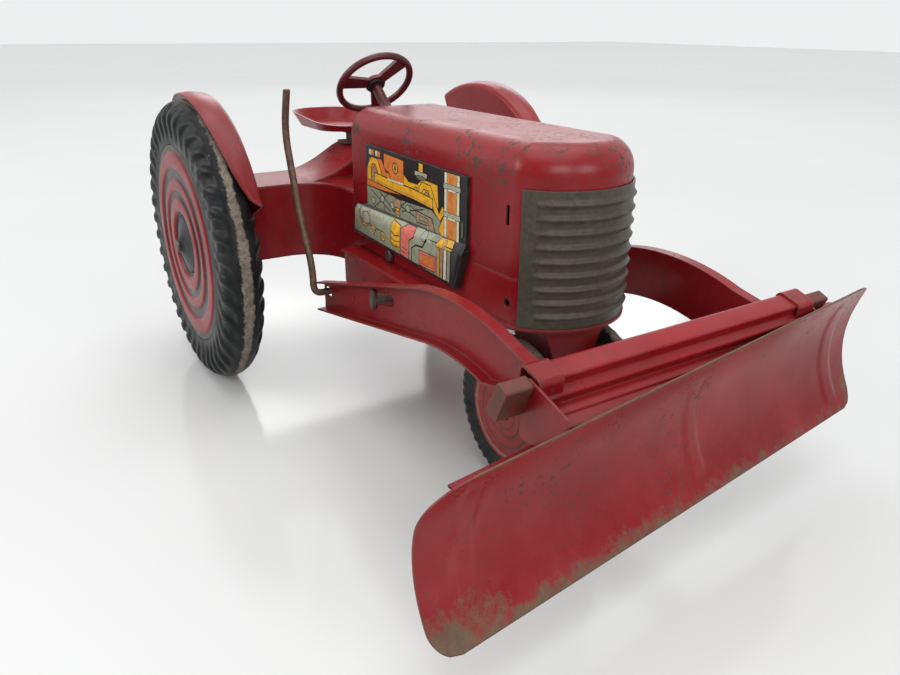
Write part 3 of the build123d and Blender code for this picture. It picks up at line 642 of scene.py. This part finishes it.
def engine_shapes():
    """Flat shapes of a made-up engine, each (colour, outline, points), upper plate then lower block."""
    upper, lower = [], []

    def box(store, colour, x0, z0, x1, z1, outline=0.45):
        store.append((colour, outline, [(x0, z0), (x1, z0), (x1, z1), (x0, z1)]))

    def blob(store, colour, x, z, rx, rz, outline=0.4, sides=20):
        turns = [2 * pi * k / sides for k in range(sides)]
        store.append((colour, outline, [(x + rx * cos(a), z + rz * sin(a)) for a in turns]))

    def band(store, colour, points, width, outline=0.4):
        """A pipe: a strip of even width along points."""
        left, right = [], []
        for k, (x, z) in enumerate(points):
            a = points[max(0, k - 1)]
            b = points[min(len(points) - 1, k + 1)]
            length = sqrt((b[0] - a[0]) ** 2 + (b[1] - a[1]) ** 2) or 1
            nx, nz = -(b[1] - a[1]) / length, (b[0] - a[0]) / length
            left.append((x + nx * width / 2, z + nz * width / 2))
            right.append((x - nx * width / 2, z - nz * width / 2))
        store.append((colour, outline, left + right[::-1]))

    # upper plate: dark ground, orange block, yellow manifold, grey-green block below
    box(upper, "black", 67.4, 91, 148.6, 121.2, 0)
    upper.append(("green", 0.0, [(67.6, 91), (132, 91), (131, 101), (124, 104), (100, 103.4), (67.6, 104.4)]))
    upper.append(("orange", 0.5, [(67.8, 104.6), (67.8, 112), (71, 117.5), (82, 118), (86, 113), (104, 113.4),
                                  (104, 106), (86, 104.8)]))
    upper.append(("orange", 0.5, [(84.5, 121), (101.5, 120.3), (101.5, 109), (92, 108.4), (89, 113.5),
                                  (84.5, 115)]))
    for x in (70.5, 76.5):
        box(upper, "cream", x, 118.8, x + 1.6, 121.2, 0.2)
        box(upper, "orange", x + 1.9, 118.8, x + 4.4, 121.2, 0.2)
    blob(upper, "ochre", 94.5, 116.2, 2.1, 2.1)
    blob(upper, "black", 94.5, 116.2, 0.8, 0.8, 0)
    band(upper, "yellow", [(70.2, 107.5), (70.4, 113.5), (73.2, 116.6), (77.5, 116.4), (80.2, 112.0),
                           (80.6, 108.6)], 2.8)
    upper.append(("tan", 0.3, [(72.6, 107.5), (72.8, 112.2), (75.4, 114.0), (78.0, 111.2), (78.2, 107.5)]))
    upper.append(("yellow", 0.5, [(101.8, 114.6), (106, 112.3), (113, 112.4), (117.5, 115.2), (128.5, 114.8),
                                  (129.4, 106.2), (124.5, 105.0), (102, 106.6)]))
    band(upper, "yellow", [(112.8, 107.4), (117.4, 112.8), (122.4, 112.6), (127.6, 104.6), (130.4, 102.4),
                           (133.4, 106.4)], 2.6)
    upper.append(("ochre", 0.35, [(107.8, 108.2), (111.4, 111.2), (114.6, 110.8), (112.0, 108.0)]))
    upper.append(("tan", 0.35, [(117.0, 107.4), (119.6, 110.6), (121.6, 110.2), (123.6, 107.2)]))
    band(upper, "yellow", [(75.6, 109.3), (92, 108.4), (110, 107.9), (125, 106.8)], 3.8, 0.5)
    band(upper, "ochre", [(77, 108.0), (92, 107.2), (110, 106.7), (124, 105.6)], 0.7, 0)
    box(upper, "cream", 87.5, 110.1, 101.5, 110.9, 0.15)
    box(upper, "yellow", 114.4, 116.6, 117.4, 121.3, 0.3)
    box(upper, "pale", 111.2, 116.2, 120.6, 117.8, 0.3)
    blob(upper, "shade", 116, 115.6, 3.6, 0.9, 0.2)
    # braces, rods and small fittings over the block
    for a, b in (((72, 103), (90, 96.6)), ((80, 103.6), (97, 95.4)), ((88, 104), (75, 96)),
                 ((104, 103.6), (92, 97)), ((100, 98.8), (118, 103.2)), ((96, 101.4), (112, 98.6)),
                 ((84, 98.2), (84, 92)), ((107, 103), (121, 97.4))):
        band(upper, "black", [a, b], 0.42, 0)
    for x, z in ((73.6, 98.4), (82.4, 100.8), (91.5, 99.6), (105.2, 100.9)):
        blob(upper, "pale", x, z, 1.7, 1.3, 0.3)
    box(upper, "tan", 93.2, 99.6, 99.0, 103.2, 0.35)
    box(upper, "yellow", 95.0, 92.6, 97.4, 99.4, 0.35)
    box(upper, "tan", 94.2, 96.4, 98.2, 98.0, 0.3)
    upper.append(("tan", 0.45, [(112.6, 97.0), (112.2, 101.4), (124.4, 100.6), (127.8, 93.8), (123.6, 93.4),
                                (121.0, 97.4)]))
    upper.append(("green", 0.35, [(115.0, 98.4), (114.8, 100.0), (121.0, 99.8), (121.4, 98.4)]))
    band(upper, "pale", [(120.4, 91.6), (122.0, 94.4), (121.2, 97.0)], 1.5)
    upper.append(("yellow", 0.4, [(129.6, 97.6), (133.6, 103.4), (135.2, 102.4), (133.6, 98.6), (135.4, 97.2),
                                  (132.4, 95.0)]))
    # upright pipe beside the block, with clamps
    box(upper, "cream", 134.0, 91.0, 144.4, 121.0, 0.3)
    box(upper, "ochre", 135.8, 91.0, 142.6, 121.0, 0.3)
    box(upper, "orange", 136.8, 92.0, 140.6, 120.4, 0)
    for z in (115.8, 104.8):
        box(upper, "pale", 133.4, z - 0.9, 145.0, z + 0.9, 0.3)
        box(upper, "cream", 136.4, z - 1.7, 141.8, z - 0.9, 0.2)
    box(upper, "shade", 146.2, 98.0, 147.2, 104.0, 0.2)
    # lower block
    lower.append(("black", 0.0, [(57.6, 81.6), (59.2, 91.9), (148.4, 92.8), (143.0, 78.0), (120.2, 79.5)]))
    lower.append(("green", 0.0, [(58.0, 82.3), (59.6, 91.7), (134.0, 92.4), (135.0, 79.2), (120, 80.0)]))
    lower.append(("pale", 0.0, [(59.2, 88.8), (59.8, 91.6), (128.0, 92.2), (127.0, 89.8)]))
    for x in (64.0, 72.6):
        band(lower, "tan", [(x, 91.4), (x + 0.6, 88.4), (x + 3.4, 87.2)], 1.0, 0.25)
        box(lower, "yellow", x + 3.2, 86.4, x + 7.2, 87.4, 0.3)
    blob(lower, "pale", 70.6, 89.2, 4.0, 1.6, 0.35)
    blob(lower, "yellow", 86.6, 85.0, 2.0, 2.0, 0.4)
    blob(lower, "green", 86.6, 85.0, 0.9, 0.9, 0.2)
    band(lower, "black", [(78, 83.4), (80.6, 87.2), (84.2, 87.0)], 0.5, 0)
    lower.append(("yellow", 0.4, [(95.2, 91.6), (94.0, 84.6), (97.6, 81.4), (98.8, 84.4), (101.6, 81.2),
                                  (102.6, 91.0)]))
    for z in (83.4, 85.8, 88.2):
        band(lower, "black", [(94.4, z + 0.6), (97.4, z - 0.4), (101.8, z + 0.2)], 0.4, 0)
    lower.append(("pink", 0.45, [(102.8, 81.0), (103.6, 90.6), (107.4, 92.0), (113.8, 92.0), (114.4, 90.0),
                                 (110.2, 88.6), (109.6, 80.4)]))
    for z in (82.6, 84.4):
        band(lower, "black", [(104.0, z), (108.6, z - 0.3)], 0.35, 0)
    band(lower, "black", [(112.2, 80.2), (112.4, 86.0), (116.0, 88.0), (121.0, 88.2), (124.6, 90.6)], 0.55, 0)
    blob(lower, "pale", 121.8, 91.0, 1.9, 1.2, 0.3)
    box(lower, "pink", 118.8, 80.4, 131.2, 86.6, 0.45)
    box(lower, "orange", 120.2, 81.4, 129.8, 85.6, 0.2)
    for x, colour in ((132.4, "ochre"), (134.8, "tan"), (137.4, "cream"), (140.0, "green")):
        lower.append((colour, 0.3, [(x, 79.4), (x + 0.4, 90.2), (x + 2.3, 90.4), (x + 1.9, 79.2)]))
    lower.append(("yellow", 0.35, [(131.6, 90.0), (133.4, 92.2), (142.0, 92.4), (143.4, 90.4)]))
    blob(lower, "ochre", 137.4, 91.2, 1.2, 0.8, 0.2)
    return upper, lower


def grown(points, by):
    """The outline pushed out by a distance."""
    area = sum(a[0] * b[1] - b[0] * a[1] for a, b in zip(points, points[1:] + points[:1]))
    way = 1 if area > 0 else -1
    out = []
    for k, (x, z) in enumerate(points):
        a, b = points[k - 1], points[(k + 1) % len(points)]
        normals = []
        for (x0, z0), (x1, z1) in ((a, (x, z)), ((x, z), b)):
            length = sqrt((x1 - x0) ** 2 + (z1 - z0) ** 2) or 1
            normals.append(((z1 - z0) / length * way, (x0 - x1) / length * way))
        nx, nz = normals[0][0] + normals[1][0], normals[0][1] + normals[1][1]
        length = max(0.5, sqrt(nx * nx + nz * nz))
        out.append((x + nx / length * by * 1.1, z + nz / length * by * 1.1))
    return out


CREASE, LEDGE, SET_BACK = 92.4, 95.8, 2.55
FOLD, PRINT_RISE = 88, 4.6


def stretch(shapes):
    """The lower block's picture carried up over its sloping top, from FOLD to the ledge."""
    def up(z):
        return z if z < FOLD else FOLD + (z - FOLD) * (LEDGE - FOLD) / PRINT_RISE

    return [(colour, outline, [(x, up(z)) for x, z in points]) for colour, outline, points in shapes]


def engine_ledge(side, face):
    """The block's sloping top, from its face back to the plate above."""
    bm = bmesh.new()
    ends = []
    for x0, x1 in ((57.8, 66.9), (149.8, 149.2)):
        corners = ((x0, 0.02, CREASE - 0.3), (x1, SET_BACK, LEDGE),
                   (x1, SET_BACK, CREASE - 1), (x0, 0.4, CREASE - 1))
        ends.append([bm.verts.new(at(x, side * (face - depth), z)) for x, depth, z in corners])
    skin(bm, ends)
    return bm


def engine_picture(side, shapes, face, sloped=False):
    bm = bmesh.new()
    depth = face + 0.01
    for colour, outline, points in shapes:
        layers = ([("black", grown(points, outline))] if outline else []) + [(colour, points)]
        for tone, loop in layers:
            depth += 0.0022
            fixed = [at(x, side * depth, z) for x, z in loop]
            verts = [bm.verts.new(p) for p in fixed]
            polygon = bm.faces.new(verts)
            polygon.material_index = INKS.index(tone)
            polygon.normal_update()
            if polygon.normal.y * side < 0:
                polygon.normal_flip()
    bmesh.ops.triangulate(bm, faces=bm.faces[:])
    if sloped:
        everything = bm.verts[:] + bm.edges[:] + bm.faces[:]
        bmesh.ops.bisect_plane(bm, geom=everything, plane_co=(0, 0, CREASE * MM), plane_no=(0, 0, 1),
                               dist=1e-7)
        for v in bm.verts:
            up = v.co.z / MM - CREASE
            if up > 0:
                v.co.y -= side * SET_BACK * MM * up / (LEDGE - CREASE)
    return bm


upper_shapes, lower_shapes = engine_shapes()
panel_paint = plain("engine_panel_black", (0.012, 0.012, 0.012), (0.035, 0.032, 0.028), rough=0.35, grain=200,
                    edge_colour=(0.12, 0.11, 0.09))
PLATE_DEPTH = 2.6
for side_name, side in SIDES:
    out = reach_of(f"engine_panel_{side_name}")
    for name, bm, paint, sharp in (
        ("print_upper", engine_picture(side, upper_shapes, out - PLATE_DEPTH), ink_materials, None),
        ("print_lower", engine_picture(side, stretch(lower_shapes), out, True), ink_materials, None),
        ("ledge", engine_ledge(side, out), panel_paint, 20),
    ):
        piece(f"engine_{name}_{side_name}", bm, paint, "tractor", slot="printed_engine", sharp=sharp)


# ---- finishes of the carried-over nodes ---------------------------------------------
HOOD_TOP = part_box("hood")[1][2]
hood_red = enamel("hood_red", chips=0.35, edges=0.45, fade=0.25, dents=0.55,
                  top_chips=(HOOD_TOP - 0.020, HOOD_TOP + 0.002), seed=1.0)
chassis_red = enamel("chassis_red", chips=0.6, edges=0.8, fade=0.5, dents=0.3, seed=2.0, soft=0.0022)
fender_red = enamel("fender_red", chips=0.5, edges=0.8, fade=0.7, dents=0.2, seed=5.0)
arm_red = enamel("arm_red", chips=0.4, edges=1.0, fade=0.65, dents=0.15, seed=6.0)
bar_red = enamel("bar_red", chips=0.8, edges=1.0, fade=0.5, dents=0.1, seed=8.0)
wheel_red = plain("steering_maroon", (0.110, 0.007, 0.012), (0.055, 0.010, 0.012), rough=0.34, grain=90,
                  edge_colour=(0.13, 0.05, 0.04), shine=0.45)
boss_brown = plain("boss_brown_red", (0.15, 0.022, 0.018), (0.085, 0.036, 0.026), rough=0.5, grain=120,
                   edge_colour=BROWN)
grille_olive = plain("grille_olive", (0.042, 0.036, 0.025), (0.066, 0.056, 0.040), rough=0.40, grain=500,
                     edge_colour=(0.15, 0.12, 0.09))
wire_brown = plain("wire_brown", (0.085, 0.048, 0.032), (0.17, 0.105, 0.070), rough=0.5, metallic=0.35,
                   grain=350)
steel_brown = plain("steel_brown", (0.075, 0.055, 0.045), (0.16, 0.125, 0.10), rough=0.42, metallic=0.6,
                    grain=400, edge_colour=(0.25, 0.2, 0.16))
hub_dark = plain("hub_dark", (0.010, 0.011, 0.013), (0.028, 0.028, 0.030), rough=0.36, grain=300,
                 edge_colour=(0.06, 0.055, 0.05), shine=0.16)
tab_dark = plain("tab_dark", (0.045, 0.026, 0.020), (0.085, 0.055, 0.040), rough=0.5, grain=300,
                 edge_colour=(0.12, 0.09, 0.07))
bracket_brown = plain("bracket_brown", (0.080, 0.048, 0.036), (0.14, 0.075, 0.055), rough=0.55, grain=200,
                      edge_colour=(0.16, 0.11, 0.08))

FINISH = {
    hood_red: ("hood",),
    chassis_red: ("chassis", "front_pedestal", "hanger_left", "hanger_right"),
    fender_red: ("seat", "rear_backplate_left", "rear_backplate_right", "front_backplate_left",
                 "front_backplate_right"),
    arm_red: ("lift_arm_left", "lift_arm_right", "blade_gusset_left", "blade_gusset_right"),
    bar_red: ("crossbar_clip_left", "crossbar_clip_right"),
    boss_brown: ("crossbar_boss_left", "crossbar_boss_right"),
    wheel_red: ("steering_wheel", "steering_column"),
    panel_paint: ("engine_panel_left", "engine_panel_right"),
    steel_brown: ("rear_axle", "front_axle", "front_bushes", "body_rivet_left", "body_rivet_right"),
    hub_dark: ("rear_hub_left", "rear_hub_right", "steering_collar"),
    bracket_brown: ("seat_bracket",),
}
for material, names in FINISH.items():
    for name in names:
        obj = NODES[name]
        for index in range(len(obj.material_slots)):
            obj.material_slots[index].material = material


# ---- grille -------------------------------------------------------------------------
def pressed_grille():
    """Curved plate round the nose, with nine ribs that end short of its side bands."""
    low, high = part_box("grille")
    bottom, top = low[2] / MM, high[2] / MM
    first, pitch, count = bottom + 4.6, 5.1, 9
    rows, columns, half_turn = 220, 72, radians(56)

    def wave(z):
        k = (z - first) / pitch
        if k < -0.5 or k > count - 0.5:
            return 0.0
        return cos((k - round(k)) * pi) ** 5

    def point(i, j, inward):
        z = bottom + (top - bottom) * i / (rows - 1)
        a = -half_turn + 2 * half_turn * j / (columns - 1)
        fade = smooth((radians(47.5) - abs(a)) / radians(3.5))
        r = 30.5 + 1.0 - inward + 1.0 * wave(z) * fade
        return at(161.5 + r * cos(a), r * sin(a), z)

    return closed_sheet(point, rows, columns, 0.75)


piece("grille_plate", pressed_grille(), grille_olive, "tractor", "grille", slot="olive_grille")


# ---- hub cones ----------------------------------------------------------------------
HUB_CONE = ((14.3, -1.05), (14.5, -0.7), (14.0, -0.35), (12.8, -0.1), (9.6, 0.75), (6.4, 1.6), (4.6, 2.2),
            (3.6, 2.75))


def hub_cone(side, tip):
    """Pressed cone on the disc, given by radius and height, ending in a drilled tip."""
    outline = [(r, REAR_FACE + height) for r, height in HUB_CONE]
    outline += [(3.3, tip - 0.15), (3.0, tip), (2.1, tip), (2.1, tip - 1)]
    turns = 96

    def point(i, j):
        r, y = outline[j]
        return about(REAR, side, y, r, 2 * pi * i / turns)

    bm = sheet_mesh(point, turns, len(outline), closed_rows=True)
    bmesh.ops.recalc_face_normals(bm, faces=bm.faces)
    return bm


for side_name, side in SIDES:
    cone = hub_cone(side, reach_of(f"rear_hub_{side_name}"))
    piece(f"hub_cone_{side_name}", cone, hub_dark, f"rear_wheel_{side_name}", f"rear_hub_{side_name}",
          slot="dark_hub_steel", sharp=50)


# ---- bent wire lever ----------------------------------------------------------------
def rounded(corners, radius, steps=7):
    """The path through the corners, each turned with its own radius."""
    path = [corners[0]]
    for before, corner, after, r in zip(corners, corners[1:], corners[2:], radius):
        into, away = (before - corner), (after - corner)
        reach = min(r * MM, into.length * 0.48, away.length * 0.48)
        start, end = corner + into.normalized() * reach, corner + away.normalized() * reach
        for k in range(steps + 1):
            t = k / steps
            path.append(start * (1 - t) ** 2 + corner * 2 * t * (1 - t) + end * t**2)
    path.append(corners[-1])
    return path


def tube(path, radius, sides=18):
    """Round wire along a path, its two ends drawn in."""
    bm = bmesh.new()
    rings = []
    normal = None
    for k, p in enumerate(path):
        way = (path[min(k + 1, len(path) - 1)] - path[max(k - 1, 0)]).normalized()
        if normal is None:
            normal = way.orthogonal().normalized()
        normal = (normal - way * normal.dot(way)).normalized()
        side_way = way.cross(normal)
        r = radius * (0.72 if k in (0, len(path) - 1) else 1)
        turns = [2 * pi * i / sides for i in range(sides)]
        rings.append([bm.verts.new(p + (normal * cos(a) + side_way * sin(a)) * r) for a in turns])
    skin(bm, rings)
    return bm


HANDLE_Y, CRANK_Y, WIRE_R = -57.5, 46.5, 1.6
# each corner of the wire, and the radius it is bent to
BENDS = [
    (50, HANDLE_Y, 146, None), (50, HANDLE_Y, 145.4, 0.5), (44.2, HANDLE_Y, 127.5, 17),
    (56, HANDLE_Y, 90, 20), (66.5, HANDLE_Y, 70, 8), (67, HANDLE_Y, 56.5, 4.2),
    (67, -CRANK_Y, 56.5, 4.2), (84, -CRANK_Y, 61, 3.6), (84, CRANK_Y, 61, 3.6),
    (67, CRANK_Y, 56.5, 3.6), (67, 53.6, 56.5, 3.6), (67, 54, 56.5, None),
]
lever_path = rounded([at(x, y, z) for x, y, z, _ in BENDS], [bend[3] for bend in BENDS[1:-1]])
piece("lever_wire", tube(lever_path, WIRE_R * MM), wire_brown, "lever", "lift_lever",
      slot="rusty_wire", sharp=60)


# ---- pins of the lift arms ----------------------------------------------------------
PIN_X, PIN_Z, PIN_ROOT = 115.0, 67.6, 35.8


def turned_tab(side):
    """Shank through the arm's slot, with a flat tab turned upright across its end."""
    root, face = PIN_ROOT, reach_of("arm_pin_right")
    # each station: how far out, half width, half height, and whether it is the tab
    stations = [(root, 2.3, 2.3, 0), (face - 1.7, 2.3, 2.3, 0), (face - 1.5, 2.0, 4.3, 1),
                (face - 0.3, 1.9, 4.2, 1), (face, 1.5, 3.8, 1)]
    bm = bmesh.new()
    rings = []
    for out, wide, tall, flat in stations:
        power = 0.55 if flat else 1.0
        tilt = radians(-8) * flat
        ring = []
        for k in range(32):
            cx, cz = cos(2 * pi * k / 32), sin(2 * pi * k / 32)
            px = wide * copysign(abs(cx) ** power, cx)
            pz = tall * copysign(abs(cz) ** power, cz)
            x = PIN_X + px * cos(tilt) - pz * sin(tilt)
            z = PIN_Z + px * sin(tilt) + pz * cos(tilt)
            ring.append(bm.verts.new(at(x, side * out, z)))
        rings.append(ring)
    skin(bm, rings)
    return bm


for side_name, side in SIDES:
    piece(f"arm_tab_{side_name}", turned_tab(side), tab_dark, "tractor", f"arm_pin_{side_name}",
          slot="plain_steel", sharp=50)


# ---- fenders ------------------------------------------------------------------------
FENDER_WEB, FENDER_FOLD_R, FENDER_BEND, AXLE_HOLE, FOOT_R = 77.1, 69.0, 3.2, 2.2, 15
# how far out the crown reaches, by degrees round the axle from the front
FENDER_EDGE = [(25, 79.2), (26, 81.2), (28, 83.0), (32, 85.0), (38, 87.0), (48, 89.0), (60, 90.4), (80, 90.9),
               (100, 90.2), (112, 88.4), (116, 86.4), (118, 83.0)]


def fender_reach(angle):
    for (a0, y0), (a1, y1) in zip(FENDER_EDGE, FENDER_EDGE[1:]):
        if angle <= a1:
            t = (angle - a0) / (a1 - a0)
            return y0 + (y1 - y0) * (smooth(t) if a1 - a0 < 3 else t)
    return FENDER_EDGE[-1][1]


def fender_mesh(side):
    """Flat web beside the tyre, rolled over into a domed crown that narrows to a round tip."""
    rows, columns, turns = 150, 40, 64
    first, last = FENDER_EDGE[0][0], FENDER_EDGE[-1][0]

    def point(i, j, inward):
        angle = first + (last - first) * i / (rows - 1)
        t = j / (columns - 1)
        wide = fender_reach(angle) - FENDER_WEB
        bend = min(FENDER_BEND, wide * 0.6)
        if t < 0.35:
            y, r = inward, 14.2 + (FENDER_FOLD_R - 14.2) * t / 0.35
        elif t < 0.55:
            turn = (t - 0.35) / 0.20 * pi / 2
            y = bend - (bend - inward) * cos(turn)
            r = FENDER_FOLD_R + (FENDER_BEND - inward) * sin(turn)
        else:
            u = (t - 0.55) / 0.45
            y = bend + (wide - bend) * u
            dome = 0.65 * sin(pi * min(1, u * 0.85)) - 0.5 * u**3
            r = FENDER_FOLD_R + FENDER_BEND - inward + dome
        return about(REAR, side, FENDER_WEB + y, r, radians(angle))

    bm = closed_sheet(point, rows, columns, 0.7)
    # foot round the axle
    corners = [(AXLE_HOLE, 0), (FOOT_R, 0), (FOOT_R, 0.75), (AXLE_HOLE, 0.75)]
    foot = [[bm.verts.new(about(REAR, side, FENDER_WEB + y, r, 2 * pi * k / turns)) for r, y in corners]
            for k in range(turns)]
    added = []
    for a, b in zip(foot, foot[1:] + foot[:1]):
        added += [bm.faces.new((a[i], a[(i + 1) % 4], b[(i + 1) % 4], b[i])) for i in range(4)]
    bmesh.ops.recalc_face_normals(bm, faces=added)
    return bm


for side_name, side in SIDES:
    piece(f"fender_plate_{side_name}", fender_mesh(side), fender_red, "tractor", f"fender_{side_name}",
          slot="red_body")


# ---- crossbar -----------------------------------------------------------------------
# section of the channel: x, z and corner radius, round from the back of its flat top
CROSSBAR_SECTION = [
    (228.4, 84.7, 0.4), (229.4, 85.2, 0.8), (236.3, 82.9, 0.8), (235.2, 80.6, 0.8), (235.0, 79.4, 0.8),
    (237.3, 78.0, 0.7), (237.4, 77.2, 0.7), (235.9, 75.2, 0.5), (236.0, 74.6, 0.4), (239.6, 73.3, 0.5),
    (239.5, 72.5, 0.4), (243.8, 71.2, 0.3), (243.7, 70.4, 0.3), (238.8, 71.6, 0.5), (234.9, 73.3, 0.5),
    (234.2, 75.4, 0.5), (234.2, 79.2, 0.8), (234.6, 81.6, 0.6), (229.6, 83.6, 0.6),
]
CROSSBAR_HALF, PLATE = 61.5, 0.95


def crossbar_mesh():
    """Pressed channel: flat top, rolled ridge, and a grooved apron down to the blade's back."""
    corners = CROSSBAR_SECTION
    loop = []
    for k, (x, z, r) in enumerate(corners):
        here = Vector((x, z))
        into = Vector(corners[k - 1][:2]) - here
        away = Vector(corners[(k + 1) % len(corners)][:2]) - here
        into *= min(r, into.length * 0.45) / into.length
        away *= min(r, away.length * 0.45) / away.length
        for n in range(4):
            t = n / 3
            loop.append(here + into * (1 - t) ** 2 + away * t**2)
    stations = 120

    def point(i, j):
        y = CROSSBAR_HALF * (2 * i / (stations - 1) - 1)
        x, z = loop[j]
        p = at(x, y, z)
        local = BLADE_TURN.inverted() @ (p - BLADE_AT) / MM
        back = (CURVE_R - SAG) - sqrt(CURVE_R**2 - min(CHORD, abs(local.z)) ** 2) - PLATE
        over = local.x - back
        if over > 0:
            p.x -= over * MM
        return p

    bm = sheet_mesh(point, stations, len(loop), closed_columns=True)
    bmesh.ops.recalc_face_normals(bm, faces=bm.faces)
    return bm


piece("crossbar_channel", crossbar_mesh(), bar_red, "lift_frame", "crossbar", slot="red_lift_steel", sharp=50)


# ---- floor --------------------------------------------------------------------------
def floor():
    g = Graph("pale_floor")
    tone = g.mix(g.ramp(g.noise(3, 2), 0.3, 0.7), (0.56, 0.565, 0.56), (0.59, 0.595, 0.59))
    material = g.finish(tone, 0.13)
    bm = bmesh.new()
    bmesh.ops.create_grid(bm, x_segments=24, y_segments=24, size=6)
    mesh = bpy.data.meshes.new("floor")
    bm.to_mesh(mesh)
    bm.free()
    mesh.materials.append(material)
    obj = bpy.data.objects.new("floor", mesh)
    bpy.context.collection.objects.link(obj)


floor()
